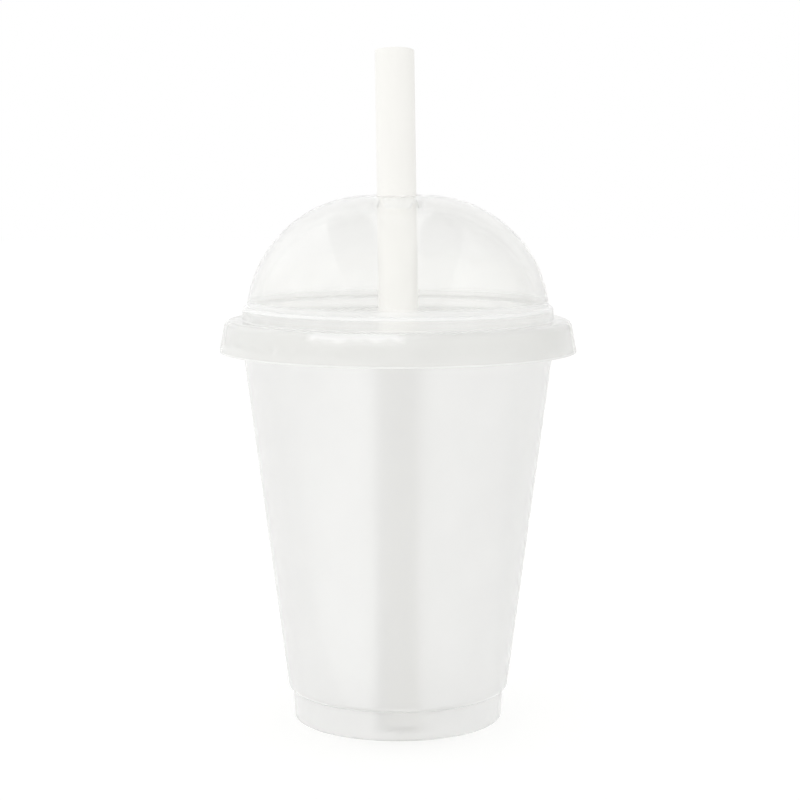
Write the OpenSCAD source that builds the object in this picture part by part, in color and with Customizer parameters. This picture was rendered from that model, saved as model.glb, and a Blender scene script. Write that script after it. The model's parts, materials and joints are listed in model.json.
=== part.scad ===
// Tapered drinking cup of frosted plastic with a clear dome lid and a wide
// straight straw. Millimetres, +Z up, origin on the cup's axis in the plane
// it stands on. The front of the cup, where the straw's foot lies, is -Y.

/* [Cup] */
// Height of the cup from the table to the top of its rolled rim
cup_height = 112; // [90:1:140]
// Diameter across the outside of the rolled rim
rim_diameter = 95; // [88:0.5:104]
// Height and width of the rolled rim, from one side of the roll to the other
rim_roll = 4.2; // [3.2:0.1:5]
// How far the roll curls on past its lowest point, in degrees
rim_curl = 30; // [0:5:40]
// Diameter of the foot at the table
foot_diameter = 58.4; // [50:0.2:64]
// How much wider the foot is at its top than at the table
foot_draft = 0.9; // [0:0.1:2]
// Height of the foot, up to the step under the shoulder
foot_height = 8.2; // [5:0.1:14]
// How far the shoulder stands out over the foot on each side
shoulder_width = 1.2; // [0.8:0.1:2.5]
// How far the underside of the shoulder climbs towards the wall
shoulder_rise = 0.45; // [0:0.05:1]
// Radius of the round that turns the shoulder into the wall
shoulder_round = 2.2; // [0.5:0.1:3]
// Radius of the round between the foot and the table
foot_round = 0.8; // [0.7:0.1:2]
// Thickness of the cup's wall and floor
cup_wall = 0.55; // [0.4:0.05:0.8]
// How far the middle of the floor is raised off the table
floor_recess = 1.2; // [0.9:0.1:3]
// Width of the flat ring that the cup stands on
standing_ring = 2.6; // [1.5:0.1:5]

/* [Lid] */
// Thickness of the lid's wall
lid_wall = 0.45; // [0.35:0.05:0.6]
// Height of the skirt, from its lower edge to the top of the flange
skirt_height = 8.75; // [7.5:0.05:12]
// How far the skirt flares outwards from the flange to its lower edge
skirt_flare = 1.6; // [0.8:0.1:3]
// Radius of the round between the flange and the skirt
flange_round = 2.2; // [1:0.1:3]
// Diameter of the raised ring that the dome stands on
ring_diameter = 86.4; // [78:0.2:88]
// Height of the raised ring above the flange
ring_height = 3.85; // [2:0.05:6]
// Radius of the round along the top of the ring
ring_round = 1.1; // [0.4:0.1:1.6]
// Diameter of the dome where its side would stand upright
dome_diameter = 84.4; // [76:0.2:86]
// Height of the crown above the flange
dome_height = 34.25; // [24:0.25:50]
// Diameter of the flat on top of the crown
crown_diameter = 15.6; // [15:0.2:24]

/* [Straw opening] */
// Radius of the fold where the flaps turn down from the crown
fold_round = 0.8; // [0.6:0.05:1.2]
// Length of each flap below its fold
flap_length = 2.7; // [1.5:0.1:4]
// Width of each flap at its tip
flap_tip_width = 5.6; // [3:0.1:8]
// Width of the cut between two flaps where it starts at the fold
slit_width = 0.4; // [0.2:0.1:0.8]

/* [Straw] */
// Outer diameter of the straw
straw_diameter = 11; // [8:0.5:11.5]
// Thickness of the straw's wall
straw_wall = 0.35; // [0.2:0.05:0.6]
// Length of the straw from end to end
straw_length = 186; // [160:1:260]
// Direction in which the foot of the straw lies, from the front to the right
straw_heading = 4.7; // [-60:0.1:60]
// How far the straw lies to the left in its opening
straw_side_shift = 0.35; // [0:0.05:0.6]

/* [Fits] */
// Gap between the top of the rim and the underside of the flange
seat_gap = 0.3; // [0.1:0.05:0.6]
// Gap between the widest line of the rim and the inside of the skirt
skirt_gap = 0.6; // [0.4:0.05:1]
// Gap between the rim and the bead inside the skirt
bead_gap = 0.3; // [0.2:0.05:0.5]
// Gap between the straw and the nearest flap
flap_gap = 0.3; // [0.2:0.05:0.8]
// Gap between the straw's foot and the cup's floor
foot_gap = 0.3; // [0.1:0.05:1]
// Gap between the straw's foot and the cup's wall
foot_wall_gap = 1.5; // [0.3:0.1:4]

/* [Hidden] */
$fn = 180;

// Number of steps in a small round and in the long arc of the dome
round_steps = 8;
dome_steps = 40;
curl_steps = 28;

// Cup: radii and heights that follow from the sizes above
rim_r = rim_diameter / 2;
roll_r = rim_roll / 2;
roll_centre = [rim_r - roll_r, cup_height - roll_r];
foot_r = foot_diameter / 2;
foot_top = [foot_r + foot_draft / 2, foot_height];
shoulder_corner = foot_top + [shoulder_width, shoulder_rise];
ring_inner_r = foot_r - foot_round - standing_ring;
floor_top = floor_recess + cup_wall;

// Lid: radii and heights that follow from the rim it sits on
flange_z = cup_height + seat_gap + lid_wall;
skirt_slope = skirt_flare / skirt_height;
flange_r = rim_r + skirt_gap + lid_wall - skirt_slope * (flange_z - roll_centre[1]);
skirt_foot = [flange_r + skirt_flare, flange_z - skirt_height];
ring_r = ring_diameter / 2;
ring_z = flange_z + ring_height;
crown_r = crown_diameter / 2;
crown_z = flange_z + dome_height;
dome_round = dome_diameter / 2 - crown_r;
dome_centre = [crown_r, crown_z - dome_round];
dome_start = asin(max(0, min(1, (ring_z - dome_centre[1]) / dome_round)));

// Bead inside the skirt: it reaches from its gap to the rim outwards into the
// skirt's wall, and its top lies a seat gap under the roll
bead_top = cup_height - rim_roll - seat_gap;
skirt_r_at_bead_top = flange_r + skirt_slope * (flange_z - bead_top);
bead_r = (skirt_r_at_bead_top - lid_wall / 4 - rim_r - bead_gap) / (2 - skirt_slope);
bead_centre = [rim_r + bead_gap + bead_r, bead_top - bead_r];

// Straw: it leans from the middle of the flaps to the floor near the front wall.
// The lean is first worked out for a foot as wide as the straw, and then the
// foot is lifted and drawn in by what the straw's own thickness takes up.
straw_r = straw_diameter / 2;
pivot_z = crown_z - fold_round - flap_length / 2;
pivot = [-straw_side_shift, 0, pivot_z];
foot_inside_r = foot_r - cup_wall - foot_wall_gap;
rough_lean = atan2(foot_inside_r - straw_r, pivot_z - floor_top);
foot_reach = foot_inside_r - straw_r * cos(rough_lean);
foot_z = floor_top + foot_gap + straw_r * sin(rough_lean);
foot_centre = [foot_reach * sin(straw_heading), -foot_reach * cos(straw_heading), foot_z];
straw_way = (pivot - foot_centre) / norm(pivot - foot_centre);
straw_lean = acos(straw_way[2]);
straw_turn = atan2(straw_way[1], straw_way[0]);

// Opening: wide enough for the leaning straw over the whole depth of the flaps
lean_play = (fold_round + flap_length / 2) * tan(straw_lean);
opening_r = straw_r / cos(straw_lean) + norm([straw_side_shift, lean_play]) + flap_gap;
flap_tip_z = crown_z - fold_round - flap_length;
flap_middle_r = opening_r + lid_wall / 2;
flap_half_angle = asin(min(1, flap_tip_width / 2 / flap_middle_r));
slit_tip_width = 2 * flap_middle_r * sin(45 - min(44, flap_half_angle));

// Points along an arc round c, from angle a to angle b
function arc(c, r, a, b, steps) =
    [for (i = [0:steps]) c + r * [cos(a + (b - a) * i / steps), sin(a + (b - a) * i / steps)]];

function unit(v) = v / norm(v);

function left_of(v) = [-v[1], v[0]];

function flat(p) = [p[0], p[1]];

// Share of the leg between two points that a round at the first may take up
function share(next) = next[2] == 0 ? 0.98 : 0.49;

// Round that replaces the corner at q, of radius q[2] or the largest that the
// legs from p and to s leave room for
function corner(p, q, s) =
    let (to = flat(q) - flat(p), from = flat(s) - flat(q))
    let (u = unit(to), v = unit(from))
    let (turn = atan2(u[0] * v[1] - u[1] * v[0], u * v))
    let (leg = min(norm(to) * share(p), norm(from) * share(s)))
    let (radius = min(q[2], leg / tan(abs(turn) / 2)), side = sign(turn))
    let (start = flat(q) - u * radius * tan(abs(turn) / 2))
    let (centre = start + left_of(u) * radius * side)
    let (a = atan2(start[1] - centre[1], start[0] - centre[0]))
    arc(centre, radius, a, a + turn, round_steps);

// Path through the points [r, z, radius], with its inner corners rounded
function rounded(p) = [
    for (i = [0:len(p) - 1])
        each (p[i][2] == 0 ? [flat(p[i])] : corner(p[i - 1], p[i], p[i + 1]))
];

// The same path moved to its left by t, with mitred corners
function beside(p, t) = [
    for (i = [0:len(p) - 1])
        let (u = unit(i == 0 ? p[1] - p[0] : p[i] - p[i - 1]))
        let (v = unit(i == len(p) - 1 ? p[i] - p[i - 1] : p[i + 1] - p[i]))
        p[i] + t * left_of(u + v) / (1 + u * v)
];

function backwards(p) = [for (i = [len(p) - 1:-1:0]) p[i]];

// Section of a sheet of thickness t that lies to the left of the path
module sheet(path, t) {
    polygon(concat(path, backwards(beside(path, t))));
}

// Outside of the cup: raised floor, standing ring, foot, step and shoulder,
// then the straight wall, which runs on to the inside of the rolled rim
function cup_path() =
    let (inner_roll = roll_r - cup_wall)
    let (reach = roll_centre - shoulder_corner)
    let (wall_angle = atan2(reach[1], reach[0]) + asin(inner_roll / norm(reach)))
    let (wall_top = roll_centre + inner_roll * [-sin(wall_angle), cos(wall_angle)])
    concat(
        rounded([
            [0, floor_recess, 0],
            [ring_inner_r - floor_recess / 2, floor_recess, foot_round],
            [ring_inner_r, 0, foot_round],
            [foot_r, 0, foot_round],
            [foot_top[0], foot_top[1], 0],
            [shoulder_corner[0], shoulder_corner[1], shoulder_round],
            [wall_top[0], wall_top[1], 0]
        ]),
        [for (i = [1:curl_steps])
            let (a = wall_angle + 90 - (wall_angle + 180 + rim_curl) * i / curl_steps)
            roll_centre + inner_roll * [cos(a), sin(a)]]
    );

module cup() {
    color([0.92, 0.92, 0.91, 0.85])
    rotate_extrude()
    sheet(cup_path(), cup_wall);
}

// Outside of the lid: flared skirt, flange, raised ring and dome, then the
// fold at the crown and the flaps that hang from it
function lid_path() = concat(
    rounded([
        [skirt_foot[0], skirt_foot[1], 0],
        [flange_r, flange_z, flange_round],
        [ring_r, flange_z, lid_wall],
        [ring_r, ring_z, ring_round],
        [dome_centre[0] + dome_round * cos(dome_start), ring_z, 0]
    ]),
    [for (p = arc(dome_centre, dome_round, dome_start, 90, dome_steps)) if (p[1] > ring_z) p],
    arc([opening_r + fold_round, crown_z - fold_round], fold_round, 90, 180, round_steps),
    [[opening_r, flap_tip_z]]
);

// Cut between two flaps: a slit at the fold that opens into a wide notch,
// because the flaps were pointed before they were bent down
module slit() {
    cut_depth = 2 * lid_wall + 1;
    rotate([90, 0, 90])
    translate([0, 0, opening_r - 1])
    linear_extrude(cut_depth + 1)
    polygon([
        [-slit_width / 2, crown_z - lid_wall],
        [-slit_tip_width / 2, flap_tip_z - 1],
        [slit_tip_width / 2, flap_tip_z - 1],
        [slit_width / 2, crown_z - lid_wall]
    ]);
}

module lid() {
    color([0.96, 0.96, 0.96, 0.45])
    difference() {
        rotate_extrude() {
            sheet(lid_path(), lid_wall);
            translate(bead_centre)
            circle(r = bead_r, $fn = 32);
        }
        for (a = [45:90:315])
            rotate([0, 0, a])
            slit();
    }
}

module straw() {
    color([0.98, 0.97, 0.93])
    translate(foot_centre)
    rotate([0, straw_lean, straw_turn])
    difference() {
        cylinder(h = straw_length, r = straw_r);
        translate([0, 0, -1])
        cylinder(h = straw_length + 2, r = straw_r - straw_wall);
    }
}

cup();
lid();
straw();
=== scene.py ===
"""Looks of the tapered drinking cup with its dome lid and straw.

The cup, the lid and the straw are surfaces worked out with numpy: the section of each thin wall is a path of
straight stretches and arcs, and the section is turned round the piece's axis. The scene is a white studio
set that is open and dim on the camera's side. Everything is in metres, +Z up, with the cup's front at -Y.
"""
import json
import math

import bpy
import numpy as np
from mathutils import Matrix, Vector


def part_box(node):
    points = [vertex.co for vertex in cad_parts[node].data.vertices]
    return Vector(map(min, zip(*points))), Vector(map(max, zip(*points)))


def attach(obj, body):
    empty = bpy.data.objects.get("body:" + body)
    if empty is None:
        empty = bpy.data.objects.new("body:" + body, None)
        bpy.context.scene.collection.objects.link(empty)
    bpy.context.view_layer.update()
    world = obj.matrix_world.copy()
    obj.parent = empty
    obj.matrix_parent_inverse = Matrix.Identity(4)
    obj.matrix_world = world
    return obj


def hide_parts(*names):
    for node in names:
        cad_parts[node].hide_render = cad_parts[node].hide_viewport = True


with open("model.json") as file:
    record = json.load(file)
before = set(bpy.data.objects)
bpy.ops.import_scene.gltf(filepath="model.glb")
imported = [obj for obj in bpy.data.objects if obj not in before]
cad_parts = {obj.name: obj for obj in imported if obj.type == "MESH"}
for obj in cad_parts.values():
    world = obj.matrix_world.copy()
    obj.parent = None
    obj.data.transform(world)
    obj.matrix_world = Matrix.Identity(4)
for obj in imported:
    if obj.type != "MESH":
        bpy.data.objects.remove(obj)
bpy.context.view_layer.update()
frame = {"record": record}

MM = 0.001

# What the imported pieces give: their outer boxes and the straw's axis
_, cup_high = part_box("cup")
lid_low, lid_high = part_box("lid")
straw_bore = next(m for m in frame["record"]["mounts"] if m["name"] == "straw_bore")

# Cup: a thin moulded wall, from the raised floor to the rolled rim
CUP_WALL = 0.55 * MM
FLOOR_RECESS = 1.2 * MM
STANDING_RING = 2.6 * MM
FOOT_RADIUS = 29.2 * MM
FOOT_DRAFT = 0.45 * MM
FOOT_HEIGHT = 8.2 * MM
FOOT_ROUND = 0.8 * MM
SHOULDER_WIDTH = 1.2 * MM
SHOULDER_RISE = 0.45 * MM
SHOULDER_ROUND = 2.2 * MM
ROLL_RADIUS = 2.1 * MM
RIM_CURL = math.radians(30)
RIM_RADIUS = cup_high.x
CUP_HEIGHT = cup_high.z

# Lid: a thin formed wall, from the flared skirt to the flaps of the straw opening
LID_WALL = 0.45 * MM
SKIRT_HEIGHT = 8.75 * MM
SKIRT_FLARE = 1.6 * MM
FLANGE_ROUND = 2.2 * MM
RING_RADIUS = 43.2 * MM
RING_HEIGHT = 3.85 * MM
RING_ROUND = 1.1 * MM
DOME_RADIUS = 42.2 * MM
CROWN_RADIUS = 7.8 * MM
FOLD_ROUND = 0.8 * MM
FLAPS = 4
FLAP_LENGTH = 2.7 * MM
FLAP_TIP_WIDTH = 5.6 * MM
SLIT_WIDTH = 0.4 * MM
CUT_OVERRUN = 1.0 * MM  # how far the cuts would run on below the flaps
SEAT_GAP = 0.3 * MM
BEAD_GAP = 0.3 * MM
FLAP_GAP = 0.3 * MM

# Straw: a plain tube whose bore the record states
STRAW_WALL = 0.35 * MM
STRAW_RADIUS = straw_bore["dims"]["r_mm"] * MM + STRAW_WALL
STRAW_LENGTH = straw_bore["dims"]["length_mm"] * MM
STRAW_EDGE_ROUND = 0.08 * MM

# How finely the surfaces are drawn
COLUMNS = 224
STRAW_COLUMNS = 96
LONGEST_STEP = 1.6 * MM
ROUND_STEPS = 8
CURL_STEPS = 28
DOME_STEPS = 56
BEAD_STEPS = 10
STRAW_EDGE_STEPS = 3
SHARP_ANGLE = math.radians(40)


def arc(centre, radius, start, end, steps):
    """Points on a circle: the centre plus the radius times the cosine and sine of evenly spaced angles."""
    turn = np.linspace(start, end, steps + 1)
    return np.asarray(centre) + radius * np.stack([np.cos(turn), np.sin(turn)], axis=1)


def unit(vector):
    """The vector divided by its length, for one vector or rows of them."""
    return vector / np.linalg.norm(vector, axis=-1, keepdims=True)


def left_of(vector):
    """The vector turned a quarter to the left."""
    return np.stack([-vector[..., 1], vector[..., 0]], axis=-1)


def corner(before, here, after, radius):
    """Round in place of a corner: it touches both legs at the radius times the tangent of half the turn."""
    into, out = unit(here - before), unit(after - here)
    turn = math.atan2(into[0] * out[1] - into[1] * out[0], into @ out)
    start = here - into * radius * math.tan(abs(turn) / 2)
    centre = start + left_of(into) * math.copysign(radius, turn)
    first = math.atan2(*(start - centre)[::-1])
    return arc(centre, radius, first, first + turn, ROUND_STEPS)


def rounded(*points):
    """Path through the points (r, z, radius), with a round at each point whose radius isn't 0."""
    flat = np.array([p[:2] for p in points])
    return np.concatenate([
        [flat[i]] if radius == 0 else corner(flat[i - 1], flat[i], flat[i + 1], radius)
        for i, (_, _, radius) in enumerate(points)
    ])


def subdivided(path):
    """The same path with its long stretches cut into equal steps, none over the longest step."""
    pieces = [
        np.linspace(a, b, max(1, math.ceil(np.linalg.norm(b - a) / LONGEST_STEP)), endpoint=False)
        for a, b in zip(path[:-1], path[1:])
    ]
    return np.concatenate([*pieces, path[-1:]])


def beside(path, distance):
    """The path moved to its left: each point goes along the sum of its two legs' normals, over one plus the
    cosine of the turn between them."""
    legs = unit(np.diff(path, axis=0))
    into, out = np.concatenate([legs[:1], legs]), np.concatenate([legs, legs[-1:]])
    spread = 1 + np.sum(into * out, axis=1, keepdims=True)
    return path + distance * left_of(into + out) / spread


def lengths_along(section):
    """Distance of each point from the start of the section."""
    return np.concatenate([[0], np.cumsum(np.linalg.norm(np.diff(section, axis=0), axis=1))])


def full_turn(rows, columns):
    """Azimuths of the columns of a surface that goes right round, the same in each row."""
    return np.broadcast_to(np.arange(columns) * math.tau / columns, (rows, columns))


def turned(section, azimuth):
    """Section points (r, z) turned round the Z axis: x and y are r times the azimuth's cosine and sine."""
    r, z = section[:, 0, None], np.broadcast_to(section[:, 1, None], azimuth.shape)
    return np.stack([r * np.cos(azimuth), r * np.sin(azimuth), z], axis=-1)


def flow_of(azimuth, along, radius):
    """Place round a circle of that radius, which leaves no seam, and along the section."""
    along = np.broadcast_to(along[:, None], azimuth.shape)
    return np.stack([radius * np.cos(azimuth), radius * np.sin(azimuth), along], axis=-1)


def faces_round(index):
    """Faces between neighbouring rows and columns of a surface whose last column meets its first."""
    beyond = np.roll(index, -1, axis=1)
    return np.stack([index[:-1], beyond[:-1], beyond[1:], index[1:]], axis=-1).reshape(-1, 4)


def signed_volume(points, faces):
    """Volume inside closed faces, positive if they point outwards: a sixth of the sum of the triple products
    of each face's two triangles."""
    a, b, c, d = (points[faces[:, i]] for i in range(4))
    triple = np.einsum("ij,ij->i", a, np.cross(b, c)) + np.einsum("ij,ij->i", a, np.cross(c, d))
    return triple.sum() / 6


def shell(name, points, faces, flow, material, bent=None):
    """A smooth closed mesh. A face with two corners at one point is a triangle. Flow is a vector at each
    point that follows the surface, for patterns. The last argument says how white the wall is drawn there:
    whitened by bending, and at the ring's upper edge partly a painted highlight line."""
    if signed_volume(points, faces) < 0:
        faces = faces[:, ::-1]
    mesh = bpy.data.meshes.new(name)
    rows = [list(dict.fromkeys(face)) for face in faces.tolist()]
    mesh.from_pydata(points.tolist(), [], rows)
    attribute = mesh.attributes.new("flow", "FLOAT_VECTOR", "POINT")
    attribute.data.foreach_set("vector", flow.astype(np.float32).ravel())
    if bent is not None:
        attribute = mesh.attributes.new("bent", "FLOAT", "POINT")
        attribute.data.foreach_set("value", bent.astype(np.float32).ravel())
    mesh.shade_smooth()
    mesh.set_sharp_from_angle(angle=SHARP_ANGLE)
    mesh.materials.append(material)
    piece = bpy.data.objects.new(name, mesh)
    bpy.context.scene.collection.objects.link(piece)
    return piece


def cup_path():
    """Outside of the cup: raised floor, standing ring, foot, step, shoulder and wall, then the inside of the
    roll, which the wall meets as a tangent."""
    roll_centre = np.array([RIM_RADIUS - ROLL_RADIUS, CUP_HEIGHT - ROLL_RADIUS])
    inner_roll = ROLL_RADIUS - CUP_WALL
    foot_top = np.array([FOOT_RADIUS + FOOT_DRAFT, FOOT_HEIGHT])
    shoulder = foot_top + [SHOULDER_WIDTH, SHOULDER_RISE]
    reach = roll_centre - shoulder
    wall_angle = math.atan2(reach[1], reach[0]) + math.asin(inner_roll / np.linalg.norm(reach))
    roll_start = wall_angle + math.pi / 2
    roll_end = roll_start - wall_angle - math.pi - RIM_CURL
    curl = arc(roll_centre, inner_roll, roll_start, roll_end, CURL_STEPS)
    ring_inside = FOOT_RADIUS - FOOT_ROUND - STANDING_RING
    straight = rounded(
        (0, FLOOR_RECESS, 0),
        (ring_inside - FLOOR_RECESS / 2, FLOOR_RECESS, FOOT_ROUND),
        (ring_inside, 0, FOOT_ROUND),
        (FOOT_RADIUS, 0, FOOT_ROUND),
        (*foot_top, 0),
        (*shoulder, SHOULDER_ROUND),
        (*curl[0], 0),
    )
    return subdivided(np.concatenate([straight[:-1], curl]))


def make_cup(material):
    """The cup: its wall's section from the axis out to the curl and back inside, turned once round."""
    path = cup_path()
    section = np.concatenate([path, beside(path, CUP_WALL)[::-1]])
    section[[0, -1], 0] = 0
    azimuth = full_turn(len(section), COLUMNS)
    points = turned(section, azimuth).reshape(-1, 3)
    flow = flow_of(azimuth, lengths_along(section), RIM_RADIUS).reshape(-1, 3)
    number = np.arange(azimuth.size).reshape(azimuth.shape)
    number[0], number[-1] = number[0, 0], number[-1, 0]
    used, index = np.unique(number, return_inverse=True)
    return shell("cup_body", points[used], faces_round(index.reshape(number.shape)), flow[used], material)


def straw_line():
    """The straw's foot, its axis and two directions across it."""
    way = unit(np.array(straw_bore["axis"], float))
    foot = np.array(straw_bore["pos_m"]) - way * STRAW_LENGTH / 2
    across = unit(np.cross(way, [0.0, 1.0, 0.0]))
    return foot, way, across, np.cross(way, across)


def opening_radius():
    """Half the flaps' opening: the leaning straw's half width, its play over their depth and a gap."""
    foot, way, _, _ = straw_line()
    middle = lid_high.z - FOLD_ROUND - FLAP_LENGTH / 2
    pivot = foot + way * (middle - foot[2]) / way[2]
    lean = math.acos(way[2])
    play = (lid_high.z - middle) * math.tan(lean)
    return STRAW_RADIUS / math.cos(lean) + math.hypot(pivot[0], play) + FLAP_GAP


def lid_path():
    """Outside of the lid: flared skirt, flange, raised ring, dome, the fold at the crown and a flap."""
    flange = np.array([lid_high.x - SKIRT_FLARE, lid_low.z + SKIRT_HEIGHT])
    ring_top = flange[1] + RING_HEIGHT
    dome_round = DOME_RADIUS - CROWN_RADIUS
    dome_centre = np.array([CROWN_RADIUS, lid_high.z - dome_round])
    dome_start = math.asin((ring_top - dome_centre[1]) / dome_round)
    dome = arc(dome_centre, dome_round, dome_start, math.pi / 2, DOME_STEPS)
    opening = opening_radius()
    fold_centre = (opening + FOLD_ROUND, lid_high.z - FOLD_ROUND)
    fold = arc(fold_centre, FOLD_ROUND, math.pi / 2, math.pi, ROUND_STEPS)
    base = rounded(
        (lid_high.x, lid_low.z, 0),
        (*flange, FLANGE_ROUND),
        (RING_RADIUS, flange[1], LID_WALL),
        (RING_RADIUS, ring_top, RING_ROUND),
        (*dome[0], 0),
    )
    tip = [[opening, lid_high.z - FOLD_ROUND - FLAP_LENGTH]]
    return subdivided(np.concatenate([base[:-1], dome, fold, tip]))


def beaded(inside):
    """The inner path with the catching bead on the skirt: the part of the bead's circle inside the wall. The
    circle reaches from a gap beside the rim into the wall, and its top lies a gap under the rim's roll."""
    start, up = inside[0], unit(inside[1] - inside[0])
    inward = left_of(up)
    slope = -up[0] / up[1]
    top = CUP_HEIGHT - 2 * ROLL_RADIUS - SEAT_GAP
    wall_there = lid_high.x - slope * (top - lid_low.z) - LID_WALL / 4
    radius = (wall_there - RIM_RADIUS - BEAD_GAP) / (2 - slope)
    centre = np.array([RIM_RADIUS + BEAD_GAP + radius, top - radius])
    depth = (centre - start) @ inward
    half = math.acos(-depth / radius)
    facing = math.atan2(inward[1], inward[0])
    bead = arc(centre, radius, facing + half, facing - half, BEAD_STEPS)
    below = inside[(inside - start) @ up < (bead[0] - start) @ up]
    above = inside[(inside - start) @ up > (bead[-1] - start) @ up]
    return np.concatenate([below, bead, above])


def half_turns(section, loose, cut_top):
    """Half the angle that a quarter of the lid spans in each row: an eighth of a turn, less half a cut's
    angle in the loose rows. A cut widens evenly from the slit's width to the gap between two flaps."""
    tip_z = lid_high.z - FOLD_ROUND - FLAP_LENGTH
    tip_radius = opening_radius() + LID_WALL / 2
    tip_half = math.asin(FLAP_TIP_WIDTH / 2 / tip_radius)
    tip_gap = 2 * tip_radius * math.sin(math.pi / FLAPS - tip_half)
    share = (cut_top - section[loose, 1]) / (cut_top - tip_z + CUT_OVERRUN)
    gap = SLIT_WIDTH + (tip_gap - SLIT_WIDTH) * share
    turns = np.full(len(section), math.pi / FLAPS)
    turns[loose] -= np.arcsin(gap / 2 / section[loose, 0])
    return turns


def lid_faces(index, first_cut, cut_rows):
    """The wall's faces between the rows and columns of each quarter, and the cut faces, which join the outer
    rows at both sides of each flap to the inner rows behind them."""
    below = np.roll(index, -1, axis=0)
    wall = np.stack([index[:, :, :-1], index[:, :, 1:], below[:, :, 1:], below[:, :, :-1]], axis=-1)
    outer = np.arange(first_cut - 1, first_cut + cut_rows - 1)
    inner = 2 * (first_cut + cut_rows) - 1 - outer
    loop = np.stack([outer, inner, inner - 1, outer + 1])
    first, last = (np.moveaxis(index[loop, :, side], 0, -1).reshape(-1, 4) for side in (0, -1))
    return np.concatenate([wall.reshape(-1, 4), first[:, ::-1], last])


def bend_whitening_and_sheen(section):
    """How white the lid's wall is drawn: wholly at the flaps, whitened by bending, and partly at the ring's
    upper edge, partly whitened by bending and partly a painted highlight line.
    """
    ring_top = lid_low.z + SKIRT_HEIGHT + RING_HEIGHT
    r, z = section[:, 0], section[:, 1]
    at_edge = (np.abs(z - ring_top) < RING_ROUND) & (r > DOME_RADIUS - LID_WALL)
    return np.where(r < CROWN_RADIUS, 1.0, np.where(at_edge, RING_WHITENING_AND_SHEEN, 0.0))


def make_lid(material):
    """The lid: its wall's section turned once round. Below the top of the cuts each quarter keeps its own
    columns, drawn together about its middle, and the cut faces join the outer and the inner rows."""
    outside = lid_path()
    inside = beaded(beside(outside, LID_WALL))
    section = np.concatenate([outside, inside[::-1]])
    along = np.concatenate([lengths_along(outside), lengths_along(inside)[::-1]])
    cut_top = lid_high.z - LID_WALL
    first_cut = int(np.argmax((outside[:, 0] < CROWN_RADIUS) & (outside[:, 1] < cut_top)))
    cut_rows = len(outside) - first_cut
    loose = np.zeros(len(section), bool)
    loose[first_cut:first_cut + 2 * cut_rows] = True

    across = np.linspace(-1, 1, COLUMNS // FLAPS + 1)
    middles = np.arange(FLAPS) * math.tau / FLAPS
    quarters = middles[:, None] + half_turns(section, loose, cut_top)[:, None, None] * across
    azimuth = quarters.reshape(len(section), -1)
    points = turned(section, azimuth).reshape(-1, 3)
    flow = flow_of(azimuth, along, RIM_RADIUS).reshape(-1, 3)
    bent = np.broadcast_to(bend_whitening_and_sheen(section)[:, None], azimuth.shape).ravel()

    number = np.arange(quarters.size).reshape(quarters.shape)
    number[~loose, :, -1] = np.roll(number[~loose, :, 0], -1, axis=1)
    used, index = np.unique(number, return_inverse=True)
    faces = lid_faces(index.reshape(number.shape), first_cut, cut_rows)
    return shell("lid_dome", points[used], faces, flow[used], material, bent[used])


def make_straw(material):
    """The straw: a ring-shaped section with slightly rounded cut edges, turned round the leaning axis."""
    foot, way, across, beyond = straw_line()
    outer = STRAW_RADIUS - STRAW_EDGE_ROUND
    inner = STRAW_RADIUS - STRAW_WALL + STRAW_EDGE_ROUND
    low = STRAW_EDGE_ROUND
    high = STRAW_LENGTH - STRAW_EDGE_ROUND
    quarter = math.pi / 2
    rounds = [
        arc(centre, STRAW_EDGE_ROUND, i * quarter, (i + 1) * quarter, STRAW_EDGE_STEPS)
        for i, centre in enumerate([(outer, high), (inner, high), (inner, low), (outer, low)])
    ]
    section = subdivided(np.concatenate([*rounds, rounds[0][:1]]))[:-1]
    azimuth = full_turn(len(section), STRAW_COLUMNS)
    points = foot + turned(section, azimuth).reshape(-1, 3) @ np.array([across, beyond, way])
    flow = flow_of(azimuth, section[:, 1], STRAW_RADIUS).reshape(-1, 3)
    index = np.arange(azimuth.size).reshape(azimuth.shape)
    return shell("straw_tube", points, faces_round(np.vstack([index, index[:1]])), flow, material)


# Finishes: heights on the lid run along its wall from the skirt's edge, and pairs bound a soft change
POLYPROPYLENE_IOR = 1.49
NOISE_MIDDLE = (0.3, 0.7)
SMOOTH = {"interpolation_type": "SMOOTHSTEP"}
FLANGE_END = (12 * MM, 14 * MM)
HAZE_END = (18 * MM, 21 * MM)
SKIRT_CLEARNESS = 0.6
RING_CLEARNESS = 0.8
DOME_CLEARNESS = 0.97
WHITE_CLEARNESS = 0.2
# The ring's upper edge is drawn whiter: partly whitened by bending, partly a painted highlight line
RING_WHITENING_AND_SHEEN = 0.6
# A painted highlight line along the skirt's cut lower edge: how strong, and the band over which it fades
TRIM_HIGHLIGHT = 0.5
TRIM_EDGE = (0.3 * MM, 0.6 * MM)

# Painted highlight on the flange's front, in place of a window's reflection on its rounded edge: its
# middle, its reach from there and its two edges
FLANGE_HIGHLIGHT = 0.8
FLANGE_HIGHLIGHT_AZIMUTH = math.radians(-103.7)
FLANGE_HIGHLIGHT_MIDDLE = (RIM_RADIUS * math.cos(FLANGE_HIGHLIGHT_AZIMUTH), RIM_RADIUS * math.sin(FLANGE_HIGHLIGHT_AZIMUTH), 0)
FLANGE_HIGHLIGHT_REACH = (10.8 * MM, 13.8 * MM)
FLANGE_HIGHLIGHT_TOP = (8.8 * MM, 9.8 * MM)
FLANGE_HIGHLIGHT_FOOT = (6.0 * MM, 7.8 * MM)  # the lowest and the highest that the uneven lower edge runs
FLANGE_HIGHLIGHT_FOOT_EDGE = (-0.7 * MM, 0.7 * MM)


def linear(colour):
    """An sRGB hex colour as linear red, green, blue and 1."""
    parts = [int(colour[i:i + 2], 16) / 255 for i in (1, 3, 5)]
    return (*(c / 12.92 if c <= 0.04045 else ((c + 0.055) / 1.055) ** 2.4 for c in parts), 1.0)


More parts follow.
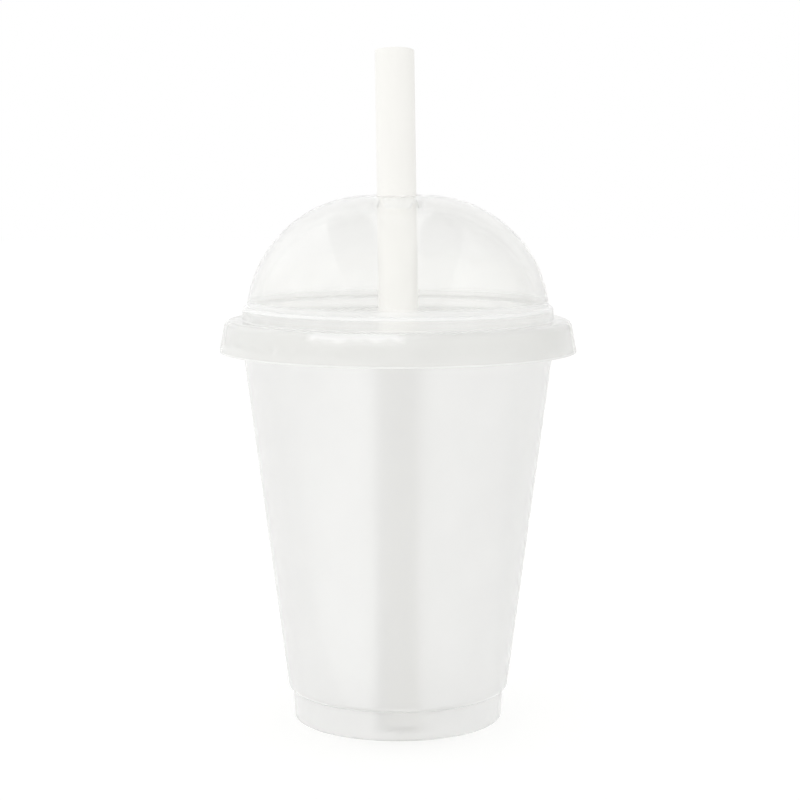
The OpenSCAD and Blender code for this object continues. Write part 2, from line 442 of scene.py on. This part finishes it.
def add(tree, kind, inputs=(), **settings):
    """Adds a node with its settings, and sets or links its inputs, given by name or in the order of those in
    use. Returns its first output in use, whose node leads to the others."""
    made = tree.nodes.new("ShaderNode" + kind)
    for name, value in settings.items():
        setattr(made, name, value)
    sockets = made.inputs
    if not isinstance(inputs, dict):
        sockets = [socket for socket in made.inputs if socket.enabled]
        inputs = dict(enumerate(inputs))
    for key, value in inputs.items():
        if isinstance(value, bpy.types.NodeSocket):
            tree.links.new(value, sockets[key])
        else:
            sockets[key].default_value = value
    return next((socket for socket in made.outputs if socket.enabled), None)


def new_material(name):
    """A material and its empty node tree."""
    material = bpy.data.materials.new(name)
    material.use_nodes = True
    material.node_tree.nodes.clear()
    return material, material.node_tree


def grains(tree, place, size, stretch=1, detail=2.0):
    """A pattern of soft grains of about that size in metres, drawn out along the section by the stretch."""
    drawn = add(tree, "VectorMath", [place, (1, 1, 1 / stretch)], operation="MULTIPLY")
    return add(tree, "TexNoise", {"Vector": drawn, "Scale": 1 / size, "Detail": detail})


def lamplit(tree, plastic, tint):
    """Lets plain light through the thin wall to the dull surfaces behind it, tinted once at each face."""
    path = add(tree, "LightPath").node.outputs
    carries = add(tree, "Math", [path["Is Shadow Ray"], path["Is Diffuse Ray"]], operation="MAXIMUM")
    through = add(tree, "BsdfTransparent", {"Color": linear(tint)})
    return add(tree, "MixShader", [carries, plastic, through])


def frosted_polypropylene():
    """Moulded natural polypropylene with a satin finish: things behind the wall show as soft shadows that
    sharpen as they come near it. Fine grain from the mould, and faint flow marks that run up the wall."""
    material, tree = new_material("frosted_polypropylene")
    place = add(tree, "Attribute", attribute_name="flow").node.outputs["Vector"]
    clouds = grains(tree, place, 14 * MM)
    marks = grains(tree, place, 1.6 * MM, stretch=30)
    grain = grains(tree, place, 0.35 * MM)  # coarser than the mould's own grain, so that it shows
    cloudy = add(tree, "MapRange", [clouds, *NOISE_MIDDLE, 0.0, 1.0])
    mark_bump = add(tree, "Bump", {"Height": marks, "Strength": 0.25, "Distance": 0.03 * MM})
    plastic = add(tree, "BsdfPrincipled", {
        "Base Color": add(tree, "Mix", [cloudy, linear("#FAFAF9"), linear("#F8F8F7")], data_type="RGBA"),
        "Roughness": add(tree, "MapRange", [clouds, *NOISE_MIDDLE, 0.34, 0.40]),
        "IOR": POLYPROPYLENE_IOR,
        "Transmission Weight": 0.6,
        "Coat Weight": 1.0,
        "Coat Roughness": 0.2,
        "Coat IOR": 1.7,
        "Normal": add(tree, "Bump", {
            "Height": grain,
            "Normal": mark_bump,
            "Strength": 0.3,
            "Distance": 0.01 * MM,
        }),
    })
    add(tree, "OutputMaterial", {"Surface": lamplit(tree, plastic, "#FEFEFE")})
    return material


def painted_flange_highlight(tree, place, height):
    """How strongly the flange's front is painted with a highlight, in place of a window's reflection: a
    white streak along the rounded edge, with an uneven lower side. 0 elsewhere."""
    level = add(tree, "VectorMath", [place, (1, 1, 0)], operation="MULTIPLY")
    foot = add(tree, "MapRange", [grains(tree, level, 9 * MM, detail=1.0), *NOISE_MIDDLE, *FLANGE_HIGHLIGHT_FOOT])
    above = add(tree, "Math", [height, foot], operation="SUBTRACT")
    lower = add(tree, "MapRange", [above, *FLANGE_HIGHLIGHT_FOOT_EDGE, 0.0, 1.0], **SMOOTH)
    upper = add(tree, "MapRange", [height, *FLANGE_HIGHLIGHT_TOP, 1.0, 0.0], **SMOOTH)
    reach = add(tree, "VectorMath", [level, FLANGE_HIGHLIGHT_MIDDLE], operation="DISTANCE")
    ends = add(tree, "MapRange", [reach, *FLANGE_HIGHLIGHT_REACH, FLANGE_HIGHLIGHT, 0.0], **SMOOTH)
    streak = add(tree, "Math", [lower, upper], operation="MULTIPLY")
    return add(tree, "Math", [streak, ends], operation="MULTIPLY")


def whitening_and_highlights(tree, place, height):
    """How white the lid is drawn: whitened by bending at the flaps, partly a painted highlight line at the
    ring's upper edge, a painted highlight streak on the flange's front and a painted highlight line along
    the skirt's cut lower edge.
    """
    bent = add(tree, "Attribute", attribute_name="bent").node.outputs["Fac"]
    edge_highlight = add(tree, "MapRange", [height, *TRIM_EDGE, TRIM_HIGHLIGHT, 0.0], **SMOOTH)
    painted_highlights = add(tree, "Math", [edge_highlight, painted_flange_highlight(tree, place, height)], operation="MAXIMUM")
    return add(tree, "Math", [bent, painted_highlights], operation="MAXIMUM")


def clear_polypropylene():
    """Formed clarified polypropylene: the drawn dome is nearly clear and glossy, with a slightly uneven wall
    that bends reflections a little. The skirt, the flange and the ring are thicker and hazy."""
    material, tree = new_material("clear_polypropylene")
    place = add(tree, "Attribute", attribute_name="flow").node.outputs["Vector"]
    height = add(tree, "SeparateXYZ", [place]).node.outputs["Z"]
    ring = add(tree, "MapRange", [height, *FLANGE_END, 0.0, 1.0], **SMOOTH)
    dome = add(tree, "MapRange", [height, *HAZE_END, 0.0, 1.0], **SMOOTH)
    # White: whitened by bending, with painted highlights, all drawn as whiter, less clear plastic
    white = whitening_and_highlights(tree, place, height)
    thin = add(tree, "Math", [ring, white], operation="MAXIMUM")
    haze = grains(tree, place, 5 * MM)
    hazy = add(tree, "MapRange", [haze, *NOISE_MIDDLE, 0.0, 1.0])
    thin_tint = add(tree, "Mix", [hazy, linear("#FEFEFD"), linear("#FCFCFB")], data_type="RGBA")
    skirt_roughness = add(tree, "MapRange", [haze, *NOISE_MIDDLE, 0.18, 0.24])
    dome_roughness = add(tree, "MapRange", [haze, *NOISE_MIDDLE, 0.04, 0.07])
    clearness = add(tree, "Mix", [ring, SKIRT_CLEARNESS, RING_CLEARNESS])
    clearness = add(tree, "Mix", [dome, clearness, DOME_CLEARNESS])
    waves = grains(tree, place, 11 * MM)
    plastic = add(tree, "BsdfPrincipled", {
        "Base Color": add(tree, "Mix", [thin, linear("#F4F4F2"), thin_tint], data_type="RGBA"),
        "Roughness": add(tree, "Mix", [dome, skirt_roughness, dome_roughness]),
        "IOR": POLYPROPYLENE_IOR,
        "Transmission Weight": add(tree, "Mix", [white, clearness, WHITE_CLEARNESS]),
        "Normal": add(tree, "Bump", {"Height": waves, "Strength": 0.05, "Distance": 0.05 * MM}),
    })
    add(tree, "OutputMaterial", {"Surface": lamplit(tree, plastic, "#FFFFFF")})
    return material


def ivory_polypropylene():
    """Extruded ivory polypropylene: satin, with faint lines from the die along its length."""
    material, tree = new_material("ivory_polypropylene")
    place = add(tree, "Attribute", attribute_name="flow").node.outputs["Vector"]
    lines = grains(tree, place, 0.7 * MM, stretch=120)  # wider than the die's own lines, so that they show
    cloudy = add(tree, "MapRange", [grains(tree, place, 9 * MM, stretch=3), *NOISE_MIDDLE, 0.0, 1.0])
    plastic = add(tree, "BsdfPrincipled", {
        "Base Color": add(tree, "Mix", [cloudy, linear("#FDFCF8"), linear("#FBFAF6")], data_type="RGBA"),
        "Roughness": add(tree, "MapRange", [lines, *NOISE_MIDDLE, 0.30, 0.42]),
        "IOR": POLYPROPYLENE_IOR,
        "Normal": add(tree, "Bump", {"Height": lines, "Strength": 0.25, "Distance": 0.02 * MM}),
    })
    add(tree, "OutputMaterial", {"Surface": lamplit(tree, plastic, "#D9D9D5")})
    return material


# Room round the set: level 1 is white, directions are seen from the object, and pairs bound a soft change
LIGHT_LEVEL = 0.975
LIGHT_LEAN = 0.06
MIDDLE = (-0.3, 0.3)
SIDE_LEVEL = 0.67
SIDE_LEAN = 0.28
SIDES_ALIKE = -0.6  # the y towards which both side walls have the same level
DIM_LEVELS = (0.45, 0.25)
DIM_LEAN = 0.07
CEILING = (0.45, 0.9)
STRIP_LEVEL = 0.9
STRIP_SIDES = (0.15, 0.22)
STRIP_FOOT = (0.05, 0.12)
BACK = (0.4, 0.75)
BACK_HIGH = (0.3, 0.7)
BACK_HIGH_LEVEL = 0.72
BACK_LEAN = 0.1
BACK_RIGHT = (0.15, 0.6)
BACK_RIGHT_LEVEL = 0.75
PATCH = (-0.595, 0.517, 0.616)
PATCH_EDGE = (0.88, 0.985)
PATCH_LEVEL = 0.15

# Upper edges of the left and the right side wall: where the crest lies, how high it is and how it falls
CREST_BACK = (2.44, 2.02)
CREST_HEIGHT = (1.81, 1.92)
CREST_FALL = (0.072, 0.114)
CREST_EDGE = (-0.015, 0.015)
SMALLEST = 0.001

# Table: its light, and where it is painted darker or brighter for gloss alone, measured from the cup's axis
TABLE_SIZE = 6.0
TABLE_LIFT = 0.17
WEDGE_DEPTH = 0.95
WEDGE_SIDES = (0.2, 0.38)
BEFORE_FOOT = (FOOT_RADIUS + 4 * MM, FOOT_RADIUS + 14 * MM)
LEFT_LIFT = 0.3
LEFT_EDGE = (-10 * MM, 10 * MM)
LEFT_END = (-300 * MM, -120 * MM)
LEFT_END_SHARE = 0.1
BEHIND_START = (-10 * MM, 20 * MM)
BEHIND_END = (1.3, 2.0)
BEHIND_SIDES = (-20 * MM, 20 * MM)
BEHIND_LOSS = (0.4, 0.75)
CONTACT = (FOOT_RADIUS, FOOT_RADIUS + 3 * MM)

# Lamp, camera and how often light may bounce
KEY_PLACE = (-0.7, -0.6, 0.7)
KEY_TARGET = (0, 0, 0.1)
KEY_SIZE = 0.5
KEY_RADIANCE = 0.6
CAMERA_PLACE = (0.55 * MM, -582.3 * MM, 160.55 * MM)
CAMERA_DIP = math.radians(6.92)
CAMERA_LENS = 94.31  # millimetres, as Blender takes it
CAMERA_SENSOR = 36  # the same
BOUNCES = 32


def looking(tree):
    """1 for a ray that only looks, from the camera, straight or by gloss and clear plastic, and 0 for one
    that carries light to a dull surface. Then 1 for a ray that gloss has turned, 0 for any other."""
    path = add(tree, "LightPath").node.outputs
    seen = add(tree, "Math", [path["Is Camera Ray"], path["Is Transmission Ray"]], operation="ADD")
    seen = add(tree, "Math", [seen, path["Is Glossy Ray"]], operation="ADD", use_clamp=True)
    first = add(tree, "Math", [path["Diffuse Depth"], 0.5], operation="LESS_THAN")
    glossy = add(tree, "Math", [path["Glossy Depth"], 0.5], operation="GREATER_THAN")
    return add(tree, "Math", [seen, first], operation="MULTIPLY"), glossy


def inside_side_walls(tree, x, y, z):
    """1 towards the white walls at both sides, 0 elsewhere. Seen from the object, a wall's upper edge rises
    to a crest a little behind it and falls towards the front, as a parabola in the direction's tangents."""
    aside = add(tree, "Math", [add(tree, "Math", [x], operation="ABSOLUTE"), SMALLEST], operation="MAXIMUM")
    back = add(tree, "Math", [y, aside], operation="DIVIDE")
    up = add(tree, "Math", [z, aside], operation="DIVIDE")
    right = add(tree, "Math", [x, 0.0], operation="GREATER_THAN")
    past = add(tree, "Math", [back, add(tree, "Mix", [right, *CREST_BACK])], operation="SUBTRACT")
    square = add(tree, "Math", [past, past], operation="MULTIPLY")
    drop = add(tree, "Math", [add(tree, "Mix", [right, *CREST_FALL]), square], operation="MULTIPLY")
    edge = add(tree, "Math", [add(tree, "Mix", [right, *CREST_HEIGHT]), drop], operation="SUBTRACT")
    under = add(tree, "Math", [edge, up], operation="SUBTRACT")
    return add(tree, "MapRange", [under, *CREST_EDGE, 0.0, 1.0], **SMOOTH)


def side_level(tree, x, y):
    """Level of the side walls: towards the back, the left one is brighter and the right one dimmer."""
    hand = add(tree, "Math", [x], operation="SIGN")
    back = add(tree, "Math", [y, SIDES_ALIKE], operation="SUBTRACT")
    lean = add(tree, "Math", [hand, back], operation="MULTIPLY")
    return add(tree, "Math", [lean, -SIDE_LEAN, SIDE_LEVEL], operation="MULTIPLY_ADD")


def dim_level(tree, x, z, across):
    """Level of the camera's side: dimmer high up and on the right, with a bright strip in its middle."""
    dim = add(tree, "MapRange", [z, *CEILING, *DIM_LEVELS], **SMOOTH)
    dim = add(tree, "Math", [across, -DIM_LEAN, dim], operation="MULTIPLY_ADD")
    from_middle = add(tree, "Math", [x], operation="ABSOLUTE")
    sides = add(tree, "MapRange", [from_middle, *STRIP_SIDES, 1.0, 0.0], **SMOOTH)
    foot = add(tree, "MapRange", [z, *STRIP_FOOT, 0.0, 1.0], **SMOOTH)
    strip = add(tree, "Math", [sides, foot], operation="MULTIPLY")
    return add(tree, "Mix", [strip, dim, STRIP_LEVEL])


def back_level(tree, x, z, across):
    """Level of the back: white, less on the right, and less high up, where the right is the dimmer side."""
    low = add(tree, "MapRange", [x, *BACK_RIGHT, 1.0, BACK_RIGHT_LEVEL], **SMOOTH)
    high = add(tree, "Math", [across, -BACK_LEAN, BACK_HIGH_LEVEL], operation="MULTIPLY_ADD")
    rise = add(tree, "MapRange", [z, *BACK_HIGH, 0.0, 1.0], **SMOOTH)
    return add(tree, "Mix", [rise, low, high])


def studio_world():
    """A white set: what the camera sees past the object is white. Gloss shows the room instead: a white
    back, pale side walls, a dim camera's side and ceiling, and a soft bright patch high at the back on the
    left. The light on dull surfaces is even and plain, a little stronger from the left and the front."""
    world = bpy.data.worlds.new("studio")
    bpy.context.scene.world = world
    world.use_nodes = True
    tree = world.node_tree
    tree.nodes.clear()
    way = add(tree, "TexCoord").node.outputs["Generated"]
    x, y, z = add(tree, "SeparateXYZ", [way]).node.outputs
    across = add(tree, "MapRange", [x, *MIDDLE, -1.0, 1.0], **SMOOTH)
    walls = inside_side_walls(tree, x, y, z)
    room = add(tree, "Mix", [walls, dim_level(tree, x, z, across), side_level(tree, x, y)])
    back = add(tree, "MapRange", [y, *BACK, 0.0, 1.0], **SMOOTH)
    room = add(tree, "Mix", [back, room, back_level(tree, x, z, across)])
    near = add(tree, "VectorMath", [way, PATCH], operation="DOT_PRODUCT")
    patch = add(tree, "MapRange", [near, *PATCH_EDGE, 0.0, PATCH_LEVEL], **SMOOTH)
    room = add(tree, "Math", [room, patch], operation="ADD")
    sideways = add(tree, "Math", [x, y], operation="ADD")
    plain = add(tree, "Math", [sideways, -LIGHT_LEAN, LIGHT_LEVEL], operation="MULTIPLY_ADD")
    looks, glossy = looking(tree)
    level = add(tree, "Mix", [looks, plain, add(tree, "Mix", [glossy, 1.0, room])])
    sky = add(tree, "Background", {"Color": (1, 1, 1, 1), "Strength": level})
    add(tree, "OutputWorld", {"Surface": sky})


def table_wedge(tree, x, ahead):
    """1 in the middle of the table's front, painted dark for gloss as a painted reflection of the dim camera
    side, 0 beside it. Its sides run out from the cup's axis."""
    aside = add(tree, "Math", [add(tree, "Math", [x], operation="ABSOLUTE"), ahead], operation="DIVIDE")
    return add(tree, "MapRange", [aside, *WEDGE_SIDES, 1.0, 0.0], **SMOOTH)


def table_left(tree, x):
    """1 on the table's left, painted brighter for gloss as a painted reflection, 0 on the right and little
    far to the left.
    """
    left = add(tree, "MapRange", [x, *LEFT_EDGE, 1.0, 0.0], **SMOOTH)
    end = add(tree, "MapRange", [x, *LEFT_END, LEFT_END_SHARE, 1.0], **SMOOTH)
    return add(tree, "Math", [left, end], operation="MULTIPLY")


def table_loss(tree, place, x, y):
    """Share of the table's light painted out for gloss, as painted shade: behind the object, more on the
    right than on the left, and close round the foot, as a painted contact shadow."""
    start = add(tree, "MapRange", [y, *BEHIND_START, 0.0, 1.0], **SMOOTH)
    end = add(tree, "MapRange", [y, *BEHIND_END, 1.0, 0.0], **SMOOTH)
    sides = add(tree, "MapRange", [x, *BEHIND_SIDES, *BEHIND_LOSS], **SMOOTH)
    behind = add(tree, "Math", [start, end], operation="MULTIPLY")
    behind = add(tree, "Math", [behind, sides], operation="MULTIPLY")
    reach = add(tree, "VectorMath", [place], operation="LENGTH")
    contact = add(tree, "MapRange", [reach, *CONTACT, 1.0, 0.0], **SMOOTH)
    return add(tree, "Math", [behind, contact], operation="MAXIMUM")


def white_table():
    """A plain white table that keeps the object's soft shadow and is lifted to white for looking rays. For
    gloss it is painted dark in front of the object, a painted reflection of the dim camera side, painted
    brighter on the left, and painted with shade behind the object and round the foot."""
    material, tree = new_material("white_table")
    place = add(tree, "TexCoord").node.outputs["Object"]
    x, y, _ = add(tree, "SeparateXYZ", [place]).node.outputs
    looks, glossy = looking(tree)
    forward = add(tree, "Math", [y, -1.0], operation="MULTIPLY")
    ahead = add(tree, "Math", [forward, SMALLEST], operation="MAXIMUM")
    before = add(tree, "MapRange", [ahead, *BEFORE_FOOT, 0.0, 1.0], **SMOOTH)
    before = add(tree, "Math", [before, glossy], operation="MULTIPLY")
    wedge = add(tree, "Math", [table_wedge(tree, x, ahead), before], operation="MULTIPLY")
    wedge = add(tree, "Math", [wedge, looks], operation="MULTIPLY")
    kept = add(tree, "Math", [wedge, -WEDGE_DEPTH, 1.0], operation="MULTIPLY_ADD")
    left = add(tree, "Math", [table_left(tree, x), before], operation="MULTIPLY")
    lift = add(tree, "Math", [left, LEFT_LIFT, TABLE_LIFT], operation="MULTIPLY_ADD")
    loss = add(tree, "Math", [table_loss(tree, place, x, y), glossy], operation="MULTIPLY")
    for share in (looks, kept, add(tree, "Math", [1.0, loss], operation="SUBTRACT")):
        lift = add(tree, "Math", [lift, share], operation="MULTIPLY")
    paint = add(tree, "Mix", [kept, linear("#000000"), linear("#F0F0EF")], data_type="RGBA")
    dull = add(tree, "BsdfDiffuse", {"Color": paint})
    light = add(tree, "Emission", {"Strength": lift})
    add(tree, "OutputMaterial", {"Surface": add(tree, "AddShader", [dull, light])})
    return material


def make_table(material):
    """The table: one flat square in the plane that the cup stands on."""
    half = TABLE_SIZE / 2
    corners = [(-half, -half, 0), (half, -half, 0), (half, half, 0), (-half, half, 0)]
    mesh = bpy.data.meshes.new("table")
    mesh.from_pydata(corners, [], [(0, 1, 2, 3)])
    mesh.materials.append(material)
    table = bpy.data.objects.new("table", mesh)
    bpy.context.scene.collection.objects.link(table)


def make_key_lamp():
    """A soft square lamp at the front on the left. Its power is its radiance times its area times pi."""
    data = bpy.data.lights.new("key", "AREA")
    data.size = KEY_SIZE
    data.energy = KEY_RADIANCE * KEY_SIZE ** 2 * math.pi
    lamp = bpy.data.objects.new("key", data)
    lamp.location = KEY_PLACE
    direction = Vector(KEY_TARGET) - Vector(KEY_PLACE)
    lamp.rotation_euler = direction.to_track_quat("-Z", "Y").to_euler()
    lamp.visible_camera = False
    lamp.visible_glossy = False
    lamp.visible_transmission = False
    bpy.context.scene.collection.objects.link(lamp)


def make_camera():
    """The photo's camera: nearly level, a little above the lid and looking slightly down."""
    data = bpy.data.cameras.new("camera")
    data.lens = CAMERA_LENS
    data.sensor_width = CAMERA_SENSOR
    camera = bpy.data.objects.new("camera", data)
    camera.location = CAMERA_PLACE
    camera.rotation_euler = (math.pi / 2 - CAMERA_DIP, 0, 0)
    bpy.context.scene.collection.objects.link(camera)
    bpy.context.scene.camera = camera


make_camera()
studio_world()
make_table(white_table())
make_key_lamp()

bpy.context.scene.view_settings.view_transform = "Standard"
cycles = bpy.context.scene.cycles
cycles.max_bounces = BOUNCES
cycles.transmission_bounces = BOUNCES
cycles.glossy_bounces = BOUNCES
cycles.transparent_max_bounces = BOUNCES

cup = make_cup(frosted_polypropylene())
lid = make_lid(clear_polypropylene())
straw = make_straw(ivory_polypropylene())
for piece, node in ((cup, "cup"), (lid, "lid"), (straw, "straw")):
    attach(piece, node)
    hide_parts(node)
